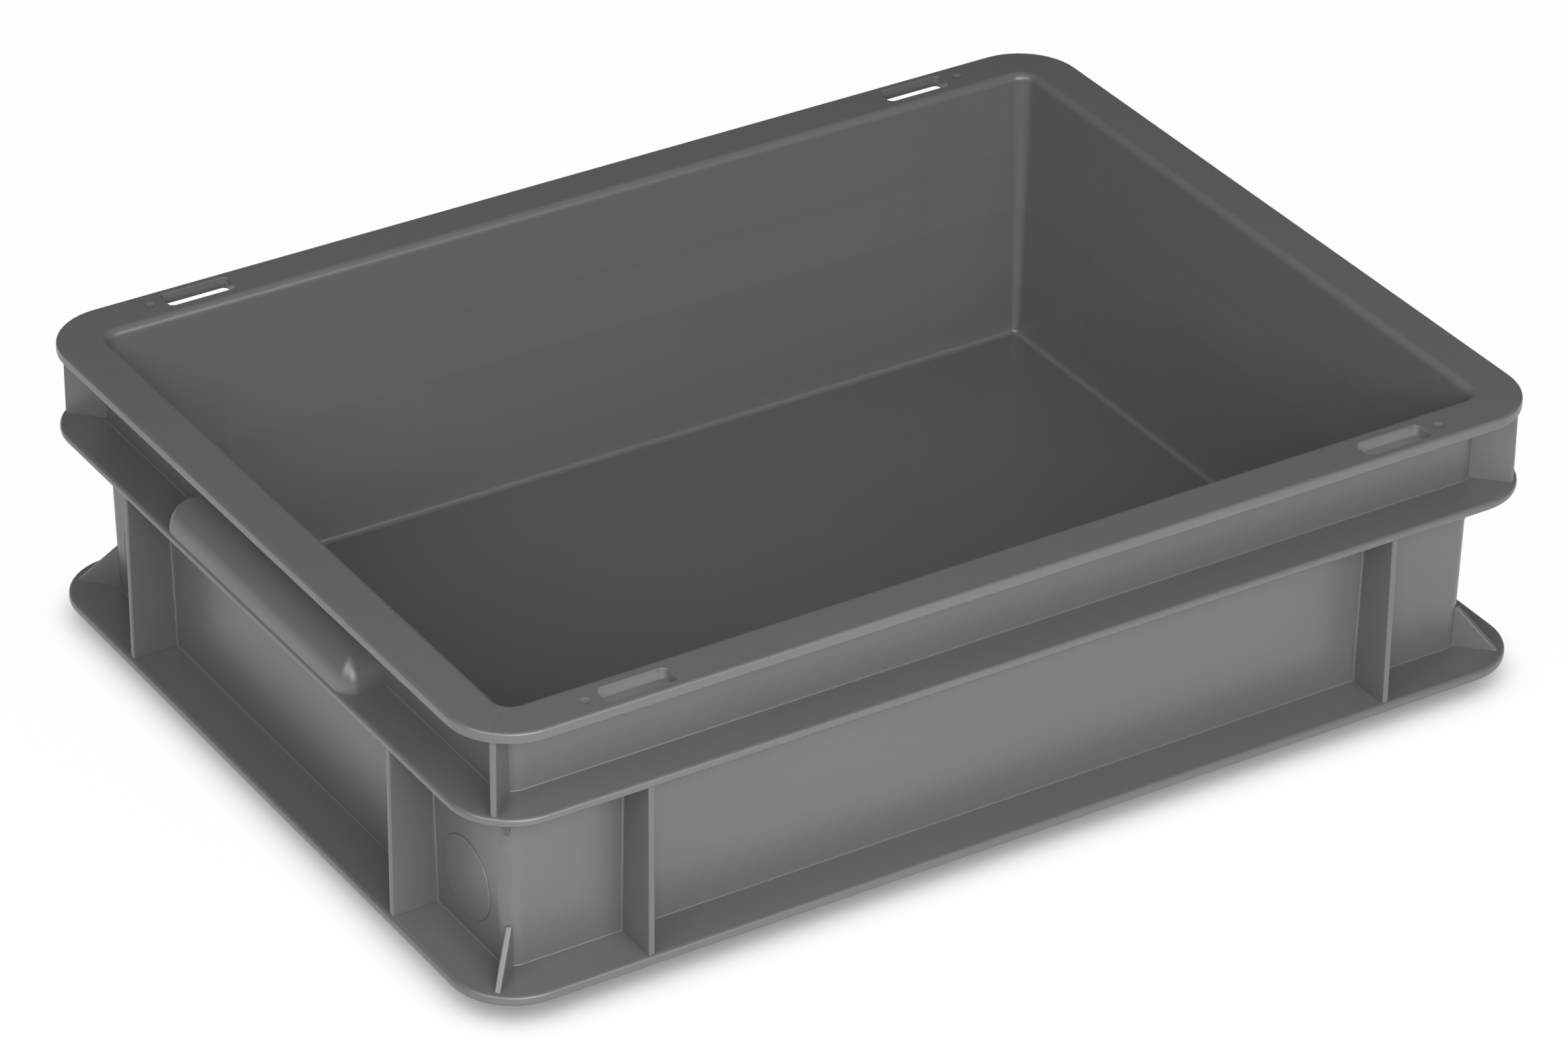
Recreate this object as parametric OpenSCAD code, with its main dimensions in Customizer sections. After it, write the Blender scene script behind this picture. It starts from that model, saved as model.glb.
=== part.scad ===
// Stacking crate: one grey moulding, drawn feature by feature.
// Origin at the middle of the underside, +X along the long side, +Z up.

/* [Crate] */
// Outside length over the rim
crate_l = 400; // [330:1:480]
// Outside width over the rim
crate_w = 300; // [250:1:360]
// Height from the underside of the base flange to the top of the rim, which is the stacking pitch
stack_h = 100; // [80:1:160]
// Corner radius of the rim and of both flanges, seen from above
corner_r = 22.5; // [22:0.5:28]

/* [Walls] */
// Wall thickness
wall_t = 2.2; // [1.8:0.1:3.2]
// Distance of the outer wall face behind the rim's edge, at the top
wall_in = 15; // [13:0.5:18]
// How much further in the wall stands at the bottom
wall_draft = 2.6; // [1:0.1:3]
// Outer corner radius of the walls, at the top
wall_r = 7.4; // [6.8:0.1:8]
// Floor thickness
floor_t = 2.7; // [2:0.1:3.2]

/* [Stacking foot] */
// How far the foot stands out below the base flange
foot_h = 6; // [4.5:0.5:9]
// Wall thickness of the foot at the floor
foot_t = 2.2; // [1.8:0.1:3]
// Play between the foot and the mouth of the crate below, on each side
foot_gap = 1; // [0.6:0.1:1.6]
// Chamfer along the lower edge of the foot
foot_c = 0.8; // [0.4:0.1:1.2]

/* [Rim and flanges] */
// Rim thickness
rim_t = 4; // [3:0.1:5]
// Thickness of the flange around the middle
mid_t = 3; // [2.4:0.1:3.6]
// Distance from the top of the rim down to the top of the middle flange
mid_drop = 31; // [26:1:36]
// Thickness of the flange around the base
base_t = 3.5; // [3.3:0.1:4.5]
// Chamfer along the outer edges of the rim and the flanges
edge_c = 1; // [0.5:0.1:1.1]
// Width of the eased edge around the mouth
lip_c = 2.8; // [1:0.1:2.9]

/* [Ribs] */
// Rib thickness
rib_t = 2.2; // [1.6:0.1:3]
// Distance of the ribs on the long sides from the ends of the crate
long_rib_end = 59.5; // [45:0.5:70]
// Distance of the ribs on the short sides from the long sides of the crate
short_rib_end = 62; // [50:0.5:63]
// Height of the corner gussets on the base flange
foot_gusset_h = 15; // [8:1:20]
// Height of the corner gussets below the middle flange
web_gusset_h = 14; // [8:1:16]
// How far the gussets below the middle flange reach from the corner of the wall
web_gusset_reach = 7; // [4:0.5:9]

/* [Grips] */
// Length of a grip
grip_l = 122; // [90:1:123]
// Height of a grip above the middle flange
grip_h = 13; // [11:0.5:14]
// Wall thickness of a grip
grip_t = 2.2; // [1.6:0.1:2.6]

/* [Rim slots] */
// Length of a slot
slot_l = 25; // [18:1:32]
// Width of a slot
slot_w = 8.4; // [6:0.1:9]
// Corner radius of a slot
slot_r = 2; // [0.8:0.1:2.8]
// Distance of the middle of a slot from the end of the crate
slot_end = 58; // [52:0.5:75]
// Distance of the middle of a slot from the long edge of the rim
slot_in = 7.4; // [7:0.1:7.8]
// Distance of the middle of a gate dimple from the end of the crate
dimple_end = 40; // [34:0.5:42]
// Distance of the middle of a gate dimple from the long edge of the rim
dimple_in = 7.5; // [6:0.5:9]
// Diameter of a gate dimple
dimple_d = 4; // [2:0.1:5]
// Depth of a gate dimple
dimple_h = 1.2; // [0.5:0.1:2]

/* [Plain discs] */
// Diameter of the plain disc beside a corner
disc_d = 28.6; // [18:0.2:30]
// Height of the disc above the wall
disc_t = 0.5; // [0.3:0.1:0.8]
// Distance of the middle of the disc from the long side of the crate
disc_end = 41; // [38:0.5:44]
// Height of the middle of the disc above the underside of the base flange
disc_rise = 24.5; // [20:0.5:28]

/* [Hidden] */
$fn = 96;

plastic = "#8b9089";
eps = 1;                            // how far cutters run past a face
half_l = crate_l / 2;
half_w = crate_w / 2;
crate_h = stack_h + foot_h;         // overall height
base_z = foot_h + base_t;           // top of the base flange
disc_z = foot_h + disc_rise;
rim_z = crate_h - rim_t;            // underside of the rim
mid_z = crate_h - mid_drop;         // top of the middle flange
web_z = mid_z - mid_t;              // underside of the middle flange
post_x = half_l - wall_in - wall_r; // axis of the wall corners
post_y = half_w - wall_in - wall_r;
draft_a = atan(wall_draft / crate_h);
foot_in = face_in(rim_z) + wall_t + foot_gap;                  // outer face of the foot behind the rim's edge
well_slope = foot_in + foot_t - face_in(base_z) - wall_t;      // how much the tub narrows below the walls
well_r = post_r(base_z) - wall_t - well_slope;                 // corner radius of the tub at the floor
lip_mid = 0.3;                      // how far out the mouth's eased edge bends, as a part of lip_c
// Where the outside of a wall corner meets the diagonal, from the axis of the flange's corner
web_root = sqrt(2) * (corner_r - wall_in - wall_r) + wall_r - wall_draft / 2;

// Distance of the outer wall face behind the rim's edge at height z
function face_in(z) = wall_in + wall_draft * (1 - z / crate_h);
// Outer radius of a wall corner at height z
function post_r(z) = wall_r - wall_draft * (1 - z / crate_h);

// A block with rounded corners. Each profile point is [distance out from the outline, height].
module round_block(hl, hw, r, profile) {
    low = profile[0][1];
    high = profile[len(profile) - 1][1];
    side = function (h) concat(
        [for (p = profile) [h + p[0], p[1]]],
        [for (i = [len(profile) - 1:-1:0]) [-h - profile[i][0], profile[i][1]]]
    );
    rotate([90, 0, 90]) translate([0, 0, r - hl]) linear_extrude(2 * (hl - r)) polygon(side(hw));
    rotate([90, 0, 0]) translate([0, 0, r - hw]) linear_extrude(2 * (hw - r)) polygon(side(hl));
    for (x = [r - hl, hl - r], y = [r - hw, hw - r])
        translate([x, y, 0]) rotate_extrude()
            polygon(concat([[0, low]], [for (p = profile) [r + p[0], p[1]]], [[0, high]]));
}

// A flat plate with the outline of the crate and eased edges
module outline_plate(low, high) {
    round_block(half_l, half_w, corner_r,
        [[-edge_c, low], [0, low + edge_c], [0, high - edge_c], [-edge_c, high]]);
}

// Everything inside the outer faces of the walls
module wall_body() {
    round_block(half_l - wall_in, half_w - wall_in, wall_r,
        [[wall_draft / crate_h * -(crate_h + eps), -eps],
         [wall_draft / crate_h * eps, crate_h + eps]]);
}

// The mouth that is cut through the rim
module mouth() {
    inset = face_in(rim_z) + wall_t;
    round_block(half_l - inset, half_w - inset, post_r(rim_z) - wall_t,
        [[0, rim_z - eps], [0, crate_h - lip_c], [lip_c * lip_mid, crate_h - lip_c * lip_mid],
         [lip_c, crate_h], [lip_c, crate_h + eps]]);
}

// Cross-section of a wall, measured out from x = 0 at a given distance h of the rim's edge
module wall_section(h) {
    polygon([
        [h - face_in(base_z) - wall_t, base_z], [h - face_in(base_z), base_z],
        [h - face_in(rim_z), rim_z], [h - face_in(rim_z) - wall_t, rim_z]
    ]);
}

// Turns a feature of the back right quarter to another quarter
module quarter(right, back) {
    mirror([right ? 0 : 1, 0, 0]) mirror([0, back ? 0 : 1, 0]) children();
}

// Puts a feature that stands on local X onto the diagonal of a corner, outwards from the corner's axis
module on_diagonal() {
    translate([half_l - corner_r, half_w - corner_r, 0]) rotate(45) children();
}

// A block with the outline of the foot. Each profile point is [distance out from it, height].
module foot_block(profile) {
    round_block(half_l - foot_in, half_w - foot_in, well_r + foot_t, profile);
}

// The inside of the tub from the floor up to the top of the base flange
module well() {
    inset = foot_in + foot_t;
    round_block(half_l - inset, half_w - inset, well_r,
        [[0, floor_t - eps], [0, floor_t], [well_slope, base_z], [well_slope, base_z + eps]]);
}

// The part of the tub below the base flange, which drops into the mouth of the crate below
module stacking_foot() {
    color(plastic) difference() {
        foot_block([[0, floor_t], [0, foot_h]]);
        well();
    }
}

module floor_panel() {
    color(plastic) foot_block([[-foot_c, 0], [0, foot_c], [0, floor_t]]);
}

module base_flange() {
    color(plastic) difference() {
        outline_plate(foot_h, base_z);
        well();
    }
}

// Room below a grip for the fingers: from low up into the hump
module grip_room(low) {
    inner = grip_h - grip_t;
    outer_x = half_l - edge_c - grip_t;
    half = grip_l / 2 - grip_t;
    translate([0, -half, low]) cube([outer_x, 2 * half, mid_z - low]);
    grip_hump(outer_x, half, inner);
}

// A hump that springs from the flange at x and rolls over to the wall and to both ends
module grip_hump(x, half, h) {
    intersection() {
        union() {
            translate([x - h, half, mid_z]) rotate([90, 0, 0]) cylinder(r = h, h = 2 * half);
            translate([x - h - wall_in, -half, mid_z]) cube([wall_in, 2 * half, h]);
        }
        union() {
            for (y = [h - half, half - h])
                translate([x - h - wall_in, y, mid_z]) rotate([0, 90, 0])
                    cylinder(r = h, h = wall_in + h + eps);
            translate([x - h - wall_in, h - half, mid_z]) cube([wall_in + h + eps, 2 * (half - h), h]);
        }
        translate([0, -half, mid_z]) cube([half_l, 2 * half, h]);
    }
}

module mid_flange() {
    color(plastic) difference() {
        outline_plate(web_z, mid_z);
        wall_body();
        for (turn = [0, 180]) rotate(turn) grip_room(web_z - eps);
    }
}

// A window with rounded corners, centred on the origin, right through the rim
module slot_window() {
    for (over = [[slot_l, slot_w - 2 * slot_r], [slot_l - 2 * slot_r, slot_w]])
        translate([-over[0] / 2, -over[1] / 2, rim_z - eps]) cube([over[0], over[1], rim_t + 2 * eps]);
    for (x = [-1, 1], y = [-1, 1])
        translate([x * (slot_l / 2 - slot_r), y * (slot_w / 2 - slot_r), rim_z - eps])
            cylinder(r = slot_r, h = rim_t + 2 * eps);
}

// A small cone sunk into the top of the rim, where the plastic ran into the mould
module gate_dimple() {
    translate([0, 0, crate_h - dimple_h]) cylinder(d1 = 0, d2 = 2 * dimple_d, h = 2 * dimple_h);
}

module top_rim() {
    color(plastic) difference() {
        outline_plate(rim_z, crate_h);
        mouth();
        for (x = [-1, 1], y = [-1, 1]) {
            translate([x * (half_l - slot_end), y * (half_w - slot_in), 0]) slot_window();
            translate([x * (half_l - dimple_end), y * (half_w - dimple_in), 0]) gate_dimple();
        }
    }
}

module long_wall(back) {
    color(plastic) quarter(true, back) rotate([90, 0, 90]) translate([0, 0, -post_x])
        linear_extrude(2 * post_x) wall_section(half_w);
}

module short_wall(right) {
    color(plastic) quarter(right, true) rotate([90, 0, 0]) translate([0, 0, -post_y])
        linear_extrude(2 * post_y) wall_section(half_l);
}

module wall_corner(right, back) {
    color(plastic) quarter(right, back) translate([post_x, post_y, 0]) rotate_extrude(angle = 90)
        translate([wall_in + wall_r - half_l, 0]) wall_section(half_l);
}

module long_rib(right, back) {
    color(plastic) quarter(right, back) difference() {
        translate([half_l - long_rib_end - rib_t / 2, half_w - corner_r, base_z])
            cube([rib_t, corner_r - edge_c, web_z - base_z]);
        wall_body();
    }
}

module short_rib(right, back) {
    color(plastic) quarter(right, back) difference() {
        translate([half_l - corner_r, half_w - short_rib_end - rib_t / 2, base_z])
            cube([corner_r - edge_c, rib_t, web_z - base_z]);
        wall_body();
    }
}

module rim_rib(right, back) {
    color(plastic) quarter(right, back) difference() {
        on_diagonal() translate([0, -rib_t / 2, mid_z]) cube([corner_r - edge_c, rib_t, rim_z - mid_z]);
        wall_body();
    }
}

// A three-cornered web that stands upright on the diagonal, from the corner's axis outwards
module corner_web(right, back, points) {
    color(plastic) quarter(right, back) difference() {
        on_diagonal() rotate([90, 0, 0]) translate([0, 0, -rib_t / 2]) linear_extrude(rib_t) polygon(points);
        wall_body();
    }
}

module foot_gusset(right, back) {
    reach = corner_r - 2 * edge_c;
    corner_web(right, back, [[0, base_z], [reach, base_z], [web_root, base_z + foot_gusset_h],
                             [0, base_z + foot_gusset_h]]);
}

module web_gusset(right, back) {
    corner_web(right, back, [[0, web_z], [web_root + web_gusset_reach, web_z],
                             [web_root, web_z - web_gusset_h], [0, web_z - web_gusset_h]]);
}

module grip(right) {
    color(plastic) quarter(right, true) difference() {
        grip_hump(half_l - edge_c, grip_l / 2, grip_h);
        grip_room(mid_z - eps);
        wall_body();
    }
}

module disc(right, back) {
    color(plastic) quarter(right, back) difference() {
        translate([half_l - face_in(disc_z), half_w - disc_end, disc_z]) rotate([0, 90 + draft_a, 0])
            translate([0, 0, -wall_t / 2]) cylinder(d = disc_d, h = wall_t / 2 + disc_t);
        wall_body();
    }
}

stacking_foot();
floor_panel();
base_flange();
mid_flange();
top_rim();
long_wall(false);  // wall_front
long_wall(true);  // wall_back
short_wall(false);  // wall_left
short_wall(true);  // wall_right
wall_corner(false, false);  // corner_front_left
wall_corner(true, false);  // corner_front_right
wall_corner(false, true);  // corner_back_left
wall_corner(true, true);  // corner_back_right
long_rib(false, false);  // rib_front_left
long_rib(true, false);  // rib_front_right
long_rib(false, true);  // rib_back_left
long_rib(true, true);  // rib_back_right
short_rib(false, false);  // rib_left_front
short_rib(false, true);  // rib_left_back
short_rib(true, false);  // rib_right_front
short_rib(true, true);  // rib_right_back
rim_rib(false, false);  // rim_rib_front_left
rim_rib(true, false);  // rim_rib_front_right
rim_rib(false, true);  // rim_rib_back_left
rim_rib(true, true);  // rim_rib_back_right
foot_gusset(false, false);  // foot_gusset_front_left
foot_gusset(true, false);  // foot_gusset_front_right
foot_gusset(false, true);  // foot_gusset_back_left
foot_gusset(true, true);  // foot_gusset_back_right
web_gusset(false, false);  // web_gusset_front_left
web_gusset(true, false);  // web_gusset_front_right
web_gusset(false, true);  // web_gusset_back_left
web_gusset(true, true);  // web_gusset_back_right
grip(false);  // grip_left
grip(true);  // grip_right
disc(false, false);  // disc_left_front
disc(false, true);  // disc_left_back
disc(true, false);  // disc_right_front
disc(true, true);  // disc_right_back
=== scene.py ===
import math
import bmesh
import bpy
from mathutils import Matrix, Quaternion, Vector


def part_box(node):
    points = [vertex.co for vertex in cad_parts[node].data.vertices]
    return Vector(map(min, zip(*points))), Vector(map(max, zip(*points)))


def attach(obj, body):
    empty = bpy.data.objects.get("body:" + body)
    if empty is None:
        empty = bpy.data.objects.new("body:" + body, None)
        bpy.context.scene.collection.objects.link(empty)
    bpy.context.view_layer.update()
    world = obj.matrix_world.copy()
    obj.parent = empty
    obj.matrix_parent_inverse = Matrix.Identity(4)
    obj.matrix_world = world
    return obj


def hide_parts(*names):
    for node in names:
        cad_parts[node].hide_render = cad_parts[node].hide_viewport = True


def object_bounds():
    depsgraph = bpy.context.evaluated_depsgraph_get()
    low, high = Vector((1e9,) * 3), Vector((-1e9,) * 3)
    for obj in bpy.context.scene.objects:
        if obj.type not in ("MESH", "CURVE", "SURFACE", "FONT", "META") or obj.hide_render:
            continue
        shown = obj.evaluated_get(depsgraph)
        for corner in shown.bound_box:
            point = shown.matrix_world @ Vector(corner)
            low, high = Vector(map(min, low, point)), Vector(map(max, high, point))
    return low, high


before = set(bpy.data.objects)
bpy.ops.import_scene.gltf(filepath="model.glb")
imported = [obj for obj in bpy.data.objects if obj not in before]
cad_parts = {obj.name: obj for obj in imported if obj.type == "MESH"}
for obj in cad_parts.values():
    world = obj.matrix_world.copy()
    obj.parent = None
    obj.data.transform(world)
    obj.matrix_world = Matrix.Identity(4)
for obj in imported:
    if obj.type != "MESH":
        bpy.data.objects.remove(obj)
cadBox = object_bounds()
mm = 0.001
bpy.ops.object.select_all(action="DESELECT")
print("frame loaded:", len(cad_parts), "nodes")

# heights and outline come from the frame
crate = {
    "halfLength": cadBox[1].x,
    "halfWidth": cadBox[1].y,
    "cornerRadius": 22.5 * mm,
    "top": cadBox[1].z,
    "rimUnder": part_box("top_rim")[0].z,
    "midTop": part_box("mid_flange")[1].z,
    "midUnder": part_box("mid_flange")[0].z,
    "baseTop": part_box("base_flange")[1].z,
    "baseUnder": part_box("base_flange")[0].z,
    "floorTop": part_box("floor_panel")[1].z,
    "wall": 2.2 * mm,
    "wallIn": 15 * mm,       # outer wall face behind the rim's edge, at the top
    "wallDraft": 2.6 * mm,   # how much further in it stands at the bottom
}


def wallInAt(z):
    return crate["wallIn"] + crate["wallDraft"] * (1 - z / crate["top"])


def pick(*objs):
    bpy.ops.object.select_all(action="DESELECT")
    for obj in objs:
        obj.select_set(True)
    bpy.context.view_layer.objects.active = objs[-1]


def goEdit(obj):
    pick(obj)
    bpy.ops.object.mode_set(mode="EDIT")
    bpy.ops.mesh.select_mode(type="FACE")


def leaveEdit():
    bpy.ops.object.mode_set(mode="OBJECT")


def selectWhere(obj, kind, test):
    # kind is "verts", "edges" or "faces"; test gets the middle of each
    bpy.ops.mesh.select_mode(type={"verts": "VERT", "edges": "EDGE", "faces": "FACE"}[kind])
    bpy.ops.mesh.select_all(action="DESELECT")
    work = bmesh.from_edit_mesh(obj.data)
    for part in getattr(work, kind):
        if kind == "verts":
            middle = part.co
        elif kind == "edges":
            middle = (part.verts[0].co + part.verts[1].co) / 2
        else:
            middle = part.calc_center_median()
        if test(middle, part):
            part.select_set(True)
    work.select_flush_mode()
    bmesh.update_edit_mesh(obj.data)


def quarterRound(start, inward, rise, flatFirst=False, count=6):
    # points of a quarter round from start, further in by inward and up by rise
    points = []
    for i in range(1, count + 1):
        a = math.pi / 2 * i / count
        u, v = (math.sin(a), 1 - math.cos(a)) if flatFirst else (1 - math.cos(a), math.sin(a))
        points.append((start[0] + inward * u, start[1] + rise * v))
    return points


def outlineSheet(halfX, halfY, radius, path, facing, keepEnd, arcSteps=12, centre=(0, 0)):
    # a face with rounded corners, inset again and again along a path of (inset, height)
    bpy.ops.mesh.primitive_plane_add(size=2)
    sheet = bpy.context.object
    goEdit(sheet)
    bpy.ops.mesh.select_all(action="SELECT")
    bpy.ops.transform.resize(value=(halfX - path[0][0], halfY - path[0][0], 1), center_override=(0, 0, 0))
    bpy.ops.transform.translate(value=(centre[0], centre[1], path[0][1]))
    bpy.ops.mesh.bevel(offset=radius - path[0][0], segments=arcSteps, affect="VERTICES")
    bpy.ops.mesh.select_all(action="SELECT")
    bpy.ops.mesh.normals_make_consistent(inside=facing < 0)
    work = bmesh.from_edit_mesh(sheet.data)
    work.faces.ensure_lookup_table()
    if work.faces[0].normal.z * facing < 0:
        bpy.ops.mesh.flip_normals()
    for (insetA, zA), (insetB, zB) in zip(path, path[1:]):
        bpy.ops.mesh.inset(thickness=max(insetB - insetA, 1e-7), depth=(zB - zA) * facing)
    if not keepEnd:
        bpy.ops.mesh.delete(type="ONLY_FACE")
    leaveEdit()
    return sheet


def mouldedForm(name, halfX, halfY, radius, upper, lower, ring, arcSteps=12, centre=(0, 0)):
    # two sheets that start on one outline; on a ring they also end on one, around the hole
    above = outlineSheet(halfX, halfY, radius, upper, 1, not ring, arcSteps, centre)
    below = outlineSheet(halfX, halfY, radius, lower, -1, not ring, arcSteps, centre)
    pick(above, below)
    bpy.ops.object.join()
    form = bpy.context.object
    form.name = form.data.name = name
    goEdit(form)
    bpy.ops.mesh.select_all(action="SELECT")
    bpy.ops.mesh.remove_doubles(threshold=2e-6)
    bpy.ops.mesh.normals_make_consistent(inside=False)
    leaveEdit()
    return form


def applyModifier(obj, kind, **settings):
    pick(obj)
    modifier = obj.modifiers.new(kind.lower(), kind)
    for key, value in settings.items():
        setattr(modifier, key, value)
    bpy.ops.object.modifier_apply(modifier=modifier.name)


def cutAway(obj, cutter, keepCutter=False):
    applyModifier(obj, "BOOLEAN", operation="DIFFERENCE", solver="EXACT", object=cutter)
    if not keepCutter:
        pick(cutter)
        bpy.ops.object.delete()


def copyTo(master, name, place=(0, 0, 0), turn=0):
    pick(master)
    bpy.ops.object.duplicate(linked=False)
    copy = bpy.context.object
    copy.name = copy.data.name = name
    copy.location = place
    copy.rotation_euler = (0, 0, math.radians(turn))
    bpy.ops.object.transform_apply(location=True, rotation=True, scale=True)
    return copy


def remove(*objs):
    pick(*objs)
    bpy.ops.object.delete()


finished = []


def finishPiece(obj, *nodes, angle=35):
    pick(obj)
    bpy.ops.object.shade_smooth_by_angle(angle=math.radians(angle))
    applyModifier(obj, "WEIGHTED_NORMAL", keep_sharp=True, weight=80)
    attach(obj, "root")
    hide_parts(*nodes)
    finished.append(obj)


# ---- tub: walls, corners and floor in one skin ----
tub = {
    "floorFillet": 2.1 * mm,     # just under the inner corner's own radius
    "witnessZ": 53 * mm,        # a faint step goes round the walls here
    "witnessStep": 0.07 * mm,
    "footPlay": 1 * mm,         # the part below the base flange drops into a mouth with this play
    "footWall": 2.2 * mm,
    "footEdge": 0.8 * mm,
}


def buildTub():
    c = crate
    topZ = c["rimUnder"]
    outer = wallInAt(topZ)
    inner = outer + c["wall"]
    fillet = tub["floorFillet"]
    footOuter = inner + tub["footPlay"]
    atBase = wallInAt(c["baseTop"]) + c["wall"]
    narrowing = (footOuter + tub["footWall"] - atBase) / (c["baseTop"] - c["floorTop"])
    wz = tub["witnessZ"]
    atWitness = wallInAt(wz) + c["wall"]
    filletTop = c["floorTop"] + fillet
    atFillet = atBase + narrowing * (c["baseTop"] - filletTop)
    inside = [(outer, topZ), (inner, topZ), (atWitness, wz), (atWitness + tub["witnessStep"], wz - 0.15 * mm),
              (atBase + tub["witnessStep"], c["baseTop"]), (atFillet + tub["witnessStep"], filletTop)]
    inside += quarterRound(inside[-1], fillet, -fillet, count=6)
    outside = [(outer, topZ), (wallInAt(c["baseTop"]), c["baseTop"]), (footOuter, c["baseTop"] - 1 * mm),
               (footOuter + 0.02 * mm, tub["footEdge"])]
    outside += quarterRound(outside[-1], tub["footEdge"], -tub["footEdge"], count=5)
    form = mouldedForm("crateTub", c["halfLength"], c["halfWidth"], c["cornerRadius"], inside, outside, False)
    finishPiece(form, "stacking_foot", "floor_panel", "wall_front", "wall_back", "wall_left", "wall_right",
                "corner_front_left", "corner_front_right", "corner_back_left", "corner_back_right")


buildTub()
print("tub made")

# ---- top rim with windows and gate dimples ----
rim = {
    "topEdge": 1.1 * mm,
    "underEdge": 0.8 * mm,
    "lip": 2.8 * mm,
    "windowLength": 25 * mm, "windowWidth": 8.4 * mm, "windowRadius": 2 * mm,
    "windowX": 142 * mm, "windowIn": 7.4 * mm, "windowEase": 0.3 * mm,
    "dimpleX": 160 * mm, "dimpleIn": 7.5 * mm, "dimpleWide": 4 * mm, "dimpleDeep": 1.2 * mm,
}


def windowCutter():
    ease, over = rim["windowEase"], 0.6 * mm
    half = (rim["windowLength"] / 2 + ease + over, rim["windowWidth"] / 2 + ease + over)
    top, low = crate["top"], crate["rimUnder"]
    flared = [(0, top + over), (ease + over, top - ease), (ease + over + 0.01 * mm, low - 1 * mm)]
    return mouldedForm("windowCutter", half[0], half[1], rim["windowRadius"] + ease + over,
                       [(0, top + over), (1 * mm, top + over)], flared, False, arcSteps=6)


def dimpleCutter():
    wide, deep = rim["dimpleWide"] / 2, rim["dimpleDeep"]
    bpy.ops.mesh.primitive_cone_add(vertices=40, radius1=0, radius2=wide * 2, depth=deep * 2,
                                    location=(0, 0, crate["top"]))
    bpy.ops.object.transform_apply(location=True)
    return bpy.context.object


def buildRim():
    c = crate
    mouthIn = wallInAt(c["rimUnder"]) + c["wall"]
    equator = c["top"] - rim["topEdge"] - 0.8 * mm
    upper = [(0, equator), (0.02 * mm, c["top"] - rim["topEdge"])]
    upper += quarterRound(upper[-1], rim["topEdge"], rim["topEdge"])
    upper += [(mouthIn - rim["lip"], c["top"])]
    upper += quarterRound(upper[-1], rim["lip"] - 0.03 * mm, -rim["lip"], flatFirst=True, count=8)
    upper += [(mouthIn, c["rimUnder"])]
    lower = [(0, equator), (0.02 * mm, c["rimUnder"] + rim["underEdge"])]
    lower += quarterRound(lower[-1], rim["underEdge"], -rim["underEdge"], count=4)
    lower += [(mouthIn, c["rimUnder"])]
    form = mouldedForm("topRim", c["halfLength"], c["halfWidth"], c["cornerRadius"], upper, lower, True)
    window, dimple = windowCutter(), dimpleCutter()
    windowY, dimpleY = c["halfWidth"] - rim["windowIn"], c["halfWidth"] - rim["dimpleIn"]
    for x in (-1, 1):
        for y in (-1, 1):
            cutAway(form, copyTo(window, "cut", (x * rim["windowX"], y * windowY, 0)))
            cutAway(form, copyTo(dimple, "cut", (x * rim["dimpleX"], y * dimpleY, 0)))
    remove(window, dimple)
    finishPiece(form, "top_rim", angle=25)     # keeps the dimples' edges crisp


buildRim()
print("rim made")

# ---- grips: hollow humps that spring from the middle flange ----
grip = {
    "outerX": 199.4 * mm,
    "halfLength": 61 * mm,
    "height": 12.9 * mm,
    "wall": 2.2 * mm,
    "cornerRadius": 6.5 * mm,
    "cutX": 183.4 * mm,         # inside the tub's wall
    "reach": 44 * mm,
}


def gripBlock(name, shrink, lowZ):
    # a block with rounded uprights, rolled over at the top
    halfX = grip["reach"] / 2 - shrink
    halfY = grip["halfLength"] - shrink
    radius = grip["cornerRadius"] - shrink
    roll = grip["height"] - shrink
    springZ = crate["midTop"]
    bpy.ops.mesh.primitive_plane_add(size=2)
    block = bpy.context.object
    block.name = block.data.name = name
    goEdit(block)
    bpy.ops.mesh.select_all(action="SELECT")
    bpy.ops.transform.resize(value=(halfX, halfY, 1), center_override=(0, 0, 0))
    bpy.ops.transform.translate(value=(grip["outerX"] - grip["reach"] / 2, 0, lowZ))
    bpy.ops.mesh.bevel(offset=radius, segments=8, affect="VERTICES")
    bpy.ops.mesh.select_all(action="SELECT")
    path = [(0, lowZ), (0.01 * mm, springZ)] + quarterRound((0.01 * mm, springZ), roll, roll, count=16)
    merged = False
    for (insetA, zA), (insetB, zB) in zip(path, path[1:]):
        if not merged and insetB > radius - 0.05 * mm:
            share = (radius - 0.03 * mm - insetA) / (insetB - insetA)
            bpy.ops.mesh.inset(thickness=radius - 0.03 * mm - insetA, depth=(zB - zA) * share)
            bpy.ops.mesh.remove_doubles(threshold=1.5 * mm)   # the used-up corner becomes one point
            insetA, zA = radius - 0.03 * mm, zA + (zB - zA) * share
            merged = True
        bpy.ops.mesh.inset(thickness=insetB - insetA, depth=zB - zA)
    bpy.ops.mesh.select_all(action="SELECT")
    bpy.ops.mesh.fill_holes(sides=0)
    bpy.ops.mesh.bisect(plane_co=(grip["cutX"] - (1 * mm if shrink else 0), 0, 0), plane_no=(1, 0, 0),
                        use_fill=True, clear_inner=True)
    bpy.ops.mesh.select_all(action="SELECT")
    bpy.ops.mesh.normals_make_consistent(inside=False)
    leaveEdit()
    return block


# ---- flanges ----
flanges = {
    "edgeTop": 1.2 * mm,
    "edgeUnder": 1.0 * mm,
    "rootFillet": 0.5 * mm,
}


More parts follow.
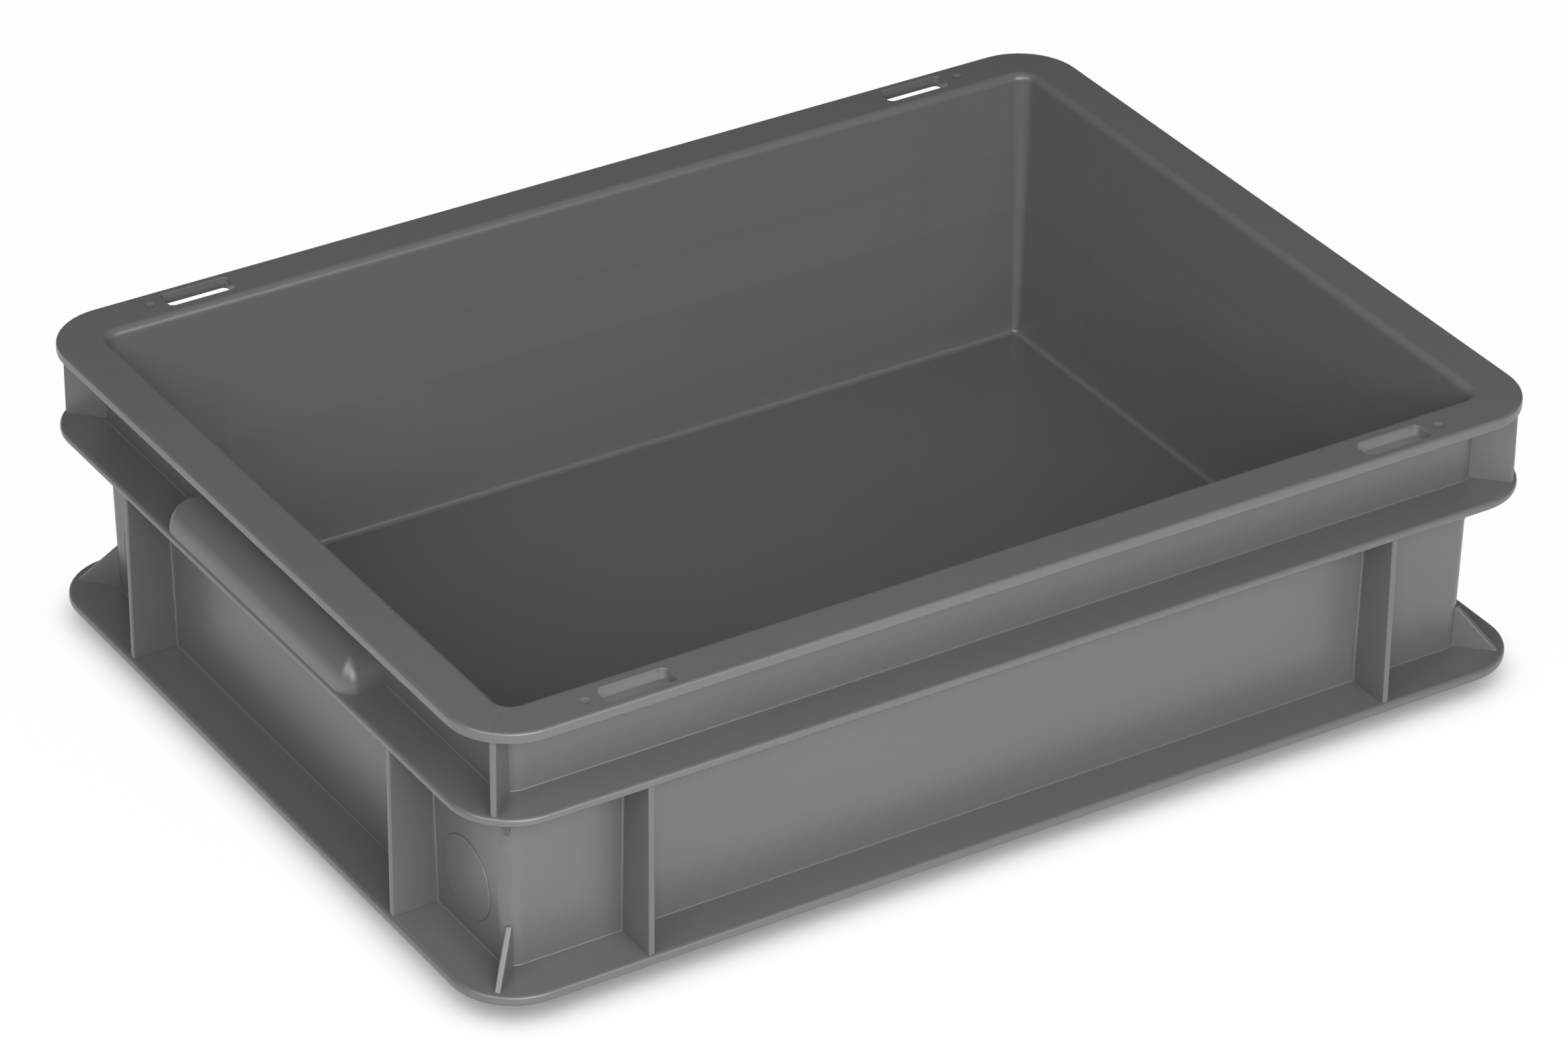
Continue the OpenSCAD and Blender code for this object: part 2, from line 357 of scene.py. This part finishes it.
def flangeForm(name, topZ, underZ, underFillet, holeIn):
    c, f = crate, flanges
    fillet = f["rootFillet"]
    equator = underZ + (topZ - underZ) * 0.52
    upper = [(0, equator), (0.01 * mm, topZ - f["edgeTop"])]
    upper += quarterRound(upper[-1], f["edgeTop"], f["edgeTop"], count=6)
    atWall = wallInAt(topZ + fillet)
    upper += [(atWall - fillet, topZ)]
    upper += quarterRound((atWall - fillet, topZ), fillet, fillet, flatFirst=True, count=5)
    upper += [(holeIn - 0.02 * mm, topZ + fillet + 0.02 * mm), (holeIn, equator)]
    lower = [(0, equator), (0.01 * mm, underZ + f["edgeUnder"])]
    lower += quarterRound(lower[-1], f["edgeUnder"], -f["edgeUnder"], count=5)
    if underFillet:
        atWall = wallInAt(underZ - fillet)
        lower += [(atWall - fillet, underZ)]
        lower += quarterRound((atWall - fillet, underZ), fillet, -fillet, flatFirst=True, count=5)
        lower += [(holeIn - 0.02 * mm, underZ - fillet - 0.02 * mm), (holeIn, equator)]
    else:
        lower += [(holeIn - 0.02 * mm, underZ), (holeIn, equator)]
    return mouldedForm(name, c["halfLength"], c["halfWidth"], c["cornerRadius"], upper, lower, True)


def buildFlangesAndGrips():
    c = crate
    middle = flangeForm("middleFlange", c["midTop"], c["midUnder"], True, wallInAt(c["midTop"]) + 1.3 * mm)
    hump = gripBlock("gripHump", 0, c["midTop"] - 1 * mm)
    room = gripBlock("gripRoom", grip["wall"], c["midUnder"] - 2 * mm)
    cutAway(hump, room, keepCutter=True)
    for side, turn in (("Right", 0), ("Left", 180)):
        cutAway(middle, copyTo(room, "cut", turn=turn))
        finishPiece(copyTo(hump, "grip" + side, turn=turn), "grip_" + side.lower(), angle=40)
    remove(hump, room)
    finishPiece(middle, "mid_flange")
    base = flangeForm("baseFlange", c["baseTop"], c["baseUnder"], False, wallInAt(c["baseTop"]) + 1.7 * mm)
    finishPiece(base, "base_flange")


buildFlangesAndGrips()
print("flanges and grips made")

# ---- ribs on the four sides ----
ribs = {
    "thick": 2.2 * mm,
    "outerIn": 0.9 * mm,        # outer face behind the outline
    "edge": 0.5 * mm,
    "rootFillet": 0.7 * mm,
    "longX": 140.5 * mm,
    "shortY": 88 * mm,
}


def boxFrom(name, low, high):
    middle = [(a + b) / 2 for a, b in zip(low, high)]
    bpy.ops.mesh.primitive_cube_add(size=1, location=middle, scale=[b - a for a, b in zip(low, high)])
    box = bpy.context.object
    box.name = box.data.name = name
    bpy.ops.object.transform_apply(location=True, rotation=True, scale=True)
    return box


def ribMaster():
    # stands on the wall and reaches towards -Y, with the outline at y = 0
    c, r = crate, ribs
    lowZ, highZ = c["baseTop"] - 0.6 * mm, c["midUnder"] + 0.6 * mm
    half = r["thick"] / 2 + r["rootFillet"]
    wallTop, wallLow = wallInAt(highZ), wallInAt(lowZ)
    rib = boxFrom("ribMaster", (-half, wallTop, lowZ), (half, wallTop + 1 * mm, highZ))
    goEdit(rib)
    selectWhere(rib, "verts", lambda co, v: co.z < c["baseTop"])
    bpy.ops.transform.translate(value=(0, wallLow - wallTop, 0))
    selectWhere(rib, "faces", lambda co, f: f.normal.y < -0.9)
    bpy.ops.mesh.inset(thickness=r["rootFillet"])
    bpy.ops.mesh.extrude_region_move(TRANSFORM_OT_translate={"value": (0, -5 * mm, 0)})
    bpy.ops.transform.resize(value=(1, 0, 1))
    work = bmesh.from_edit_mesh(rib.data)
    front = [f for f in work.faces if f.select][0].calc_center_median().y
    bpy.ops.transform.translate(value=(0, r["outerIn"] - front, 0))
    # soft outer edges and a small fillet where the rib leaves the wall
    selectWhere(rib, "edges", lambda co, e: abs(co.y - r["outerIn"]) < 1e-5
                and abs(e.verts[0].co.z - e.verts[1].co.z) > 10 * mm)
    bpy.ops.mesh.bevel(offset=r["edge"], segments=4, affect="EDGES")
    selectWhere(rib, "edges", lambda co, e: abs(abs(co.x) - r["thick"] / 2) < 1e-5 and co.y > 10 * mm
                and abs(e.verts[0].co.z - e.verts[1].co.z) > 10 * mm)
    bpy.ops.mesh.bevel(offset=r["rootFillet"] - 0.02 * mm, segments=4, affect="EDGES")
    leaveEdit()
    return rib


def buildRibs():
    c, r = crate, ribs
    master = ribMaster()
    for x, side in ((-1, "Left"), (1, "Right")):
        finishPiece(copyTo(master, "ribFront" + side, (x * r["longX"], -c["halfWidth"], 0), 0),
                    "rib_front_" + side.lower())
        finishPiece(copyTo(master, "ribBack" + side, (x * r["longX"], c["halfWidth"], 0), 180),
                    "rib_back_" + side.lower())
    for y, end in ((-1, "Front"), (1, "Back")):
        finishPiece(copyTo(master, "ribLeft" + end, (-c["halfLength"], y * r["shortY"], 0), -90),
                    "rib_left_" + end.lower())
        finishPiece(copyTo(master, "ribRight" + end, (c["halfLength"], y * r["shortY"], 0), 90),
                    "rib_right_" + end.lower())
    remove(master)


buildRibs()
print("ribs made")

# ---- corner ribs and gussets on the diagonals ----
corners = {
    "thick": 2.2 * mm,
    "rimRibOuter": 21.4 * mm,   # from the axis of the outline's corner
    "wallOuter": 6.2 * mm,
    "root": 4.9 * mm,
    "footReach": 20.6 * mm, "footHigh": 15 * mm,
    "webReach": 13.2 * mm, "webDeep": 14 * mm,
    "edge": 0.7 * mm,
}


def rimRibMaster():
    c, k = crate, corners
    plate = boxFrom("rimRibMaster", (-k["thick"] / 2, -k["rimRibOuter"], c["midTop"] - 0.5 * mm),
                    (k["thick"] / 2, -k["root"] - 1 * mm, c["rimUnder"] + 0.5 * mm))
    goEdit(plate)
    selectWhere(plate, "edges", lambda co, e: co.y < -20 * mm
                and abs(e.verts[0].co.z - e.verts[1].co.z) > 10 * mm)
    bpy.ops.mesh.bevel(offset=k["edge"], segments=4, affect="EDGES")
    leaveEdit()
    return plate


def gussetMaster(name, lowZ, highZ, reach, slantAtTop):
    # a plate with one outer corner pulled back to the wall
    k = corners
    plate = boxFrom(name, (-k["thick"] / 2, -reach, lowZ), (k["thick"] / 2, -k["root"], highZ))
    goEdit(plate)
    pull = reach - k["wallOuter"]
    wanted = highZ if slantAtTop else lowZ
    selectWhere(plate, "verts", lambda co, v: abs(co.z - wanted) < 1e-5 and co.y < -reach + 1e-5)
    bpy.ops.transform.translate(value=(0, pull, 0))
    selectWhere(plate, "edges", lambda co, e: abs(co.y + (reach + k["wallOuter"]) / 2) < 1e-4
                and abs(e.verts[0].co.z - e.verts[1].co.z) > 5 * mm)
    bpy.ops.mesh.bevel(offset=k["edge"], segments=4, affect="EDGES")
    leaveEdit()
    return plate


def buildCorners():
    c, k = crate, corners
    rimRib = rimRibMaster()
    footGusset = gussetMaster("footGussetMaster", c["baseTop"] - 0.3 * mm, c["baseTop"] + k["footHigh"],
                              k["footReach"], True)
    webGusset = gussetMaster("webGussetMaster", c["midUnder"] - k["webDeep"], c["midUnder"] + 0.3 * mm,
                             k["webReach"], False)
    axisX, axisY = c["halfLength"] - c["cornerRadius"], c["halfWidth"] - c["cornerRadius"]
    for x, y, turn, end, side in ((-1, -1, -45, "Front", "Left"), (1, -1, 45, "Front", "Right"),
                                  (-1, 1, -135, "Back", "Left"), (1, 1, 135, "Back", "Right")):
        place = (x * axisX, y * axisY, 0)
        node = end.lower() + "_" + side.lower()
        finishPiece(copyTo(rimRib, "rimRib" + end + side, place, turn), "rim_rib_" + node)
        finishPiece(copyTo(footGusset, "footGusset" + end + side, place, turn), "foot_gusset_" + node)
        finishPiece(copyTo(webGusset, "webGusset" + end + side, place, turn), "web_gusset_" + node)
    remove(rimRib, footGusset, webGusset)


buildCorners()
print("corner ribs and gussets made")

# ---- plain discs on the end walls ----
discs = {"wide": 28.6 * mm, "proud": 0.45 * mm, "y": 109 * mm, "z": 30.5 * mm, "edge": 0.2 * mm}


def discMaster():
    d = discs
    bpy.ops.mesh.primitive_cylinder_add(vertices=96, radius=d["wide"] / 2, depth=1.6 * mm)
    disc = bpy.context.object
    goEdit(disc)
    selectWhere(disc, "faces", lambda co, f: f.normal.z > 0.9)
    bpy.ops.mesh.inset(thickness=d["edge"])
    bpy.ops.mesh.inset(thickness=0.9 * mm)
    bpy.ops.mesh.inset(thickness=0.25 * mm, depth=-0.15 * mm)
    leaveEdit()
    goEdit(disc)
    selectWhere(disc, "verts", lambda co, v: co.z > 0 and co.xy.length > d["wide"] / 2 - 0.01 * mm)
    bpy.ops.transform.translate(value=(0, 0, -d["edge"]))
    leaveEdit()
    return disc


def buildDiscs():
    d = discs
    master = discMaster()
    tilt = math.atan(crate["wallDraft"] / crate["top"])
    for x, side in ((-1, "left"), (1, "right")):
        for y, end in ((-1, "front"), (1, "back")):
            pick(master)
            bpy.ops.object.duplicate(linked=False)
            disc = bpy.context.object
            disc.name = disc.data.name = "disc" + side.capitalize() + end.capitalize()
            disc.rotation_euler = (0, x * (math.pi / 2 + tilt), 0)
            out = crate["halfLength"] - wallInAt(d["z"]) + d["proud"] - 0.8 * mm
            disc.location = (x * out, y * d["y"], d["z"])
            bpy.ops.object.transform_apply(location=True, rotation=True, scale=True)
            finishPiece(disc, "disc_" + side + "_" + end, angle=50)
    remove(master)


buildDiscs()
print("discs made")


# ---- material ----
class Wire:
    # a socket that can be used in sums
    def __init__(self, sheet, socket):
        self.sheet, self.socket = sheet, socket

    def math(self, operation, left, right):
        return self.sheet.node("ShaderNodeMath", {"operation": operation}, {0: left, 1: right})

    def __add__(self, other):
        return self.math("ADD", self, other)

    def __radd__(self, other):
        return self.math("ADD", other, self)

    def __sub__(self, other):
        return self.math("SUBTRACT", self, other)

    def __rsub__(self, other):
        return self.math("SUBTRACT", other, self)

    def __mul__(self, other):
        return self.math("MULTIPLY", self, other)

    def __rmul__(self, other):
        return self.math("MULTIPLY", other, self)

    def __truediv__(self, other):
        return self.math("DIVIDE", self, other)

    def __abs__(self):
        return self.math("ABSOLUTE", self, 0)


class Sheet:
    def __init__(self, tree):
        self.tree = tree
        tree.nodes.clear()

    def node(self, kind, settings=None, inputs=None, output=0):
        made = self.tree.nodes.new(kind)
        for key, value in (settings or {}).items():
            if key == "stops":
                ramp = made.color_ramp
                while len(ramp.elements) < len(value):
                    ramp.elements.new(0.5)
                for element, (place, shade) in zip(ramp.elements, value):
                    element.position = place
                    element.color = (shade, shade, shade, 1) if isinstance(shade, (int, float)) else shade
            else:
                setattr(made, key, value)
        for key, value in (inputs or {}).items():
            if isinstance(value, Wire):
                self.tree.links.new(value.socket, made.inputs[key])
            else:
                made.inputs[key].default_value = value
        return Wire(self, made.outputs[output]) if made.outputs else None

    def split(self, vector):
        whole = self.node("ShaderNodeSeparateXYZ", {}, {"Vector": vector}).socket.node
        return [Wire(self, whole.outputs[axis]) for axis in "XYZ"]

    def rising(self, value, low, high):
        # 0 below low, 1 above high, soft between them
        return self.node("ShaderNodeMapRange", {"interpolation_type": "SMOOTHSTEP"},
                         {0: value, 1: low, 2: high})

    def band(self, value, middle, half, soft):
        return 1 - self.rising(abs(value - middle), half, half + soft)


plastic = {
    "colour": (0.128, 0.1315, 0.1235, 1),
    "darker": (0.110, 0.1135, 0.106, 1),
    "roughness": 0.33,
    "grainScale": 2600,
    "grainDepth": 0.012 * mm,
    "waveDepth": 0.3 * mm,
    "sinkDepth": 0.03 * mm,     # how deep the plastic sank opposite the flange and the ribs
    "sinkHalf": 1.2 * mm,
    "midFlangeZ": 74.2 * mm,
    "seamOffset": 50 * mm,      # the rim's seams run along abs(x) - abs(y) = this
    "ringCount": 900,           # turns of phase per metre from the gate
}


def makePlastic():
    p = plastic
    material = bpy.data.materials.new("greyPolypropylene")
    material.use_nodes = True
    s = Sheet(material.node_tree)
    place = s.node("ShaderNodeTexCoord", output="Object")
    x, y, z = s.split(place)
    farX, farY = abs(x), abs(y)
    slow = s.node("ShaderNodeTexNoise", {}, {"Vector": place, "Scale": 14.0, "Detail": 2.0})
    mottle = s.node("ShaderNodeTexNoise", {}, {"Vector": place, "Scale": 420.0, "Detail": 2.0})
    grain = s.node("ShaderNodeTexNoise", {}, {"Vector": place, "Scale": p["grainScale"], "Detail": 1.0})

    # how far a point is from the middle of the wall's thickness, towards the outside
    lean = crate["wallDraft"] / crate["top"]
    middleIn = crate["wallIn"] + crate["wallDraft"] + crate["wall"] / 2
    outX = farX - (crate["halfLength"] - middleIn) - z * lean
    outY = farY - (crate["halfWidth"] - middleIn) - z * lean
    outward = s.node("ShaderNodeMath", {"operation": "MAXIMUM"}, {0: outX, 1: outY})
    inside = 1 - s.rising(outward, -0.3 * mm, 0.3 * mm)

    # inside the tub: painted shade darkens the lower half below the witness step, and the sinks opposite the
    # flange, the ribs and the grips are dents with painted shade in their colour
    paintedShadeLowHalf = inside * (1 - s.rising(z, tub["witnessZ"] - 0.4 * mm, tub["witnessZ"] + 0.4 * mm))
    onLong = s.rising(outY - outX, 0, 1 * mm)
    flangeSinkAndShade = s.band(z, p["midFlangeZ"], 1.4 * mm, 1.2 * mm)
    lower = 1 - s.rising(z, p["midFlangeZ"], p["midFlangeZ"] + 2 * mm)
    ribSinksAndShade = lower * (s.band(farX, ribs["longX"], p["sinkHalf"], 1.0 * mm) * onLong
                        + s.band(farY, ribs["shortY"], p["sinkHalf"], 1.0 * mm) * (1 - onLong))
    gripSinkAndShade = s.band(z, p["midFlangeZ"] + grip["height"], p["sinkHalf"], 1.5 * mm) * (1 - onLong) * (
        1 - s.rising(farY, 46 * mm, 58 * mm))
    clearOfFloor = s.rising(z, 8 * mm, 14 * mm)
    # the sink dents are real and go to the bump; the darker colour they add is painted shade
    sinksAndShade = inside * clearOfFloor * (flangeSinkAndShade + ribSinksAndShade + gripSinkAndShade)

    # the rim: thin seams on the corners, and flow rings round the gates
    onTop = s.rising(z, crate["top"] - 1.2 * mm, crate["top"] - 0.6 * mm)
    onCorner = s.rising(farX, 181 * mm, 184 * mm)
    seam = onTop * s.band(farX - farY, p["seamOffset"], 0.08 * mm, 0.12 * mm) * onCorner
    gate = s.node("ShaderNodeVectorMath", {"operation": "DISTANCE"}, {
        0: s.node("ShaderNodeCombineXYZ", {}, {0: farX, 1: farY, 2: 0.0}),
        1: (rim["dimpleX"], crate["halfWidth"] - rim["dimpleIn"], 0)}, output=1)
    rings = s.node("ShaderNodeMath", {"operation": "SINE"}, {0: (gate + slow * 14 * mm) * p["ringCount"]})
    flow = onTop * rings * (1 - s.rising(gate, 12 * mm, 42 * mm))

    # colour mix: random tone, painted shade in the lower half and the sink bands, flow rings round the gates
    # and the corner seams
    blend = slow * 0.55 + mottle * 0.35 + paintedShadeLowHalf * 0.35 + sinksAndShade * 0.18 + flow * 0.06 + seam * 0.5
    colour = s.node("ShaderNodeMix", {"data_type": "RGBA"},
                    {0: blend, 6: p["colour"], 7: p["darker"]}, output=2)
    roughness = p["roughness"] - 0.05 + slow * 0.08 + mottle * 0.04 + sinksAndShade * 0.02 + flow * 0.02
    bump = s.node("ShaderNodeBump", {}, {"Height": grain, "Strength": 0.35, "Distance": p["grainDepth"]})
    sunk = sinksAndShade + flow * 0.15 + seam * 1.2
    marks = s.node("ShaderNodeBump", {"invert": True}, {
        "Height": sunk, "Strength": 1.0, "Distance": p["sinkDepth"], "Normal": bump})
    wave = s.node("ShaderNodeBump", {}, {
        "Height": slow, "Strength": 0.3, "Distance": p["waveDepth"], "Normal": marks})
    shader = s.node("ShaderNodeBsdfPrincipled", {}, {
        "Base Color": colour, "Roughness": roughness, "Normal": wave, "IOR": 1.5, "Specular IOR Level": 0.7})
    s.node("ShaderNodeOutputMaterial", {}, {"Surface": shader})
    return material


greyPlastic = makePlastic()
for piece in finished:
    piece.data.materials.clear()
    piece.data.materials.append(greyPlastic)
print("plastic on", len(finished), "pieces")

# ---- floor, light and camera ----
studio = {
    "floorSize": 6.0,
    "floorGrey": 0.82,
    "worldLow": 0.10,           # brightness of the room at the horizon
    "worldHigh": 0.26,          # and overhead
    "shadowShare": 0.03,
    # how far the painted contact shadow on the floor reaches
    "paintedShadowReach": 0.017,
    "key": {"place": (-0.25, -1.15, 0.68), "size": (1.3, 0.6), "power": 19},
    "fill": {"place": (-1.3, -0.45, 1.05), "size": (1.0, 0.7), "power": 11},
    "back": {"place": (0.5, 1.6, 0.24), "size": (1.6, 0.4), "power": 13},
}


def makeFloor():
    bpy.ops.mesh.primitive_plane_add(size=studio["floorSize"], location=(0, 0, 0))
    floor = bpy.context.object
    floor.name = "studioFloor"
    material = bpy.data.materials.new("paleFloor")
    material.use_nodes = True
    s = Sheet(material.node_tree)
    grey = studio["floorGrey"]
    matt = s.node("ShaderNodeBsdfDiffuse", {}, {"Color": (grey, grey, grey, 1)})
    # painted contact shadow: ambient occlusion dims the floor's emission near the crate
    nearness = s.node("ShaderNodeAmbientOcclusion", {"samples": 16},
                      {"Distance": studio["paintedShadowReach"]}, output=1)
    paintedShadowLevel = s.node("ShaderNodeMapRange", {}, {"Value": nearness, 1: 0.05, 2: 0.9, 3: 0.2, 4: 1.0})
    glow = s.node("ShaderNodeEmission", {}, {"Color": (1, 1, 1, 1), "Strength": paintedShadowLevel})
    rays = s.node("ShaderNodeLightPath", output="Is Camera Ray")
    glossy = s.node("ShaderNodeLightPath", output="Is Glossy Ray")
    through = s.node("ShaderNodeLightPath", output="Is Transmission Ray")
    seen = s.node("ShaderNodeMath", {"operation": "MAXIMUM"}, {0: rays, 1: s.node(
        "ShaderNodeMath", {"operation": "MAXIMUM"}, {0: glossy, 1: through})})
    mixed = s.node("ShaderNodeMixShader", {}, {0: seen * (1 - studio["shadowShare"]), 1: matt, 2: glow})
    s.node("ShaderNodeOutputMaterial", {}, {"Surface": mixed})
    floor.data.materials.append(material)


def makeWorld():
    world = bpy.data.worlds.new("studio")
    bpy.context.scene.world = world
    world.use_nodes = True
    s = Sheet(world.node_tree)
    rays = s.node("ShaderNodeMath", {"operation": "MAXIMUM"}, {
        0: s.node("ShaderNodeLightPath", output="Is Camera Ray"),
        1: s.node("ShaderNodeLightPath", output="Is Transmission Ray")})
    low, high = studio["worldLow"], studio["worldHigh"]
    upward = s.split(s.node("ShaderNodeTexCoord", output="Generated"))[2]
    level = s.rising(upward, 0.3, 0.95) * (high - low) + low
    glow = s.node("ShaderNodeBackground", {}, {"Color": (1, 1, 1, 1), "Strength": rays * (1 - level) + level})
    s.node("ShaderNodeOutputWorld", {}, {"Surface": glow})


def makeLamp(name):
    lamp = studio[name]
    bpy.ops.object.light_add(type="AREA", location=lamp["place"])
    obj = bpy.context.object
    obj.name = name + "Lamp"
    obj.data.shape = "RECTANGLE"
    obj.data.size, obj.data.size_y = lamp["size"]
    obj.data.energy = lamp["power"]
    aim = Vector((0, 0, 0.05)) - Vector(lamp["place"])
    obj.rotation_euler = aim.to_track_quat("-Z", "Y").to_euler()
    return obj


view = {
    "place": (-1.04265, -1.65747, 1.22828),
    "aim": (-0.01111, -0.01765, 0.056),
    "roll": 0.57,
    "lens": 157.97,
}


def makeCamera():
    bpy.ops.object.camera_add(location=view["place"])
    camera = bpy.context.object
    camera.data.sensor_width = 36
    camera.data.lens = view["lens"]
    camera.data.clip_end = 30
    aim = Vector(view["aim"]) - Vector(view["place"])
    turn = aim.to_track_quat("-Z", "Y") @ Quaternion((0, 0, 1), math.radians(view["roll"]))
    camera.rotation_euler = turn.to_euler()
    bpy.context.scene.camera = camera


makeFloor()
makeWorld()
makeLamp("key")
makeLamp("fill")
makeLamp("back").visible_glossy = False     # lifts the far sides and leaves no glare on the rim
makeCamera()
bpy.context.scene.view_settings.view_transform = "Standard"
print("studio ready")
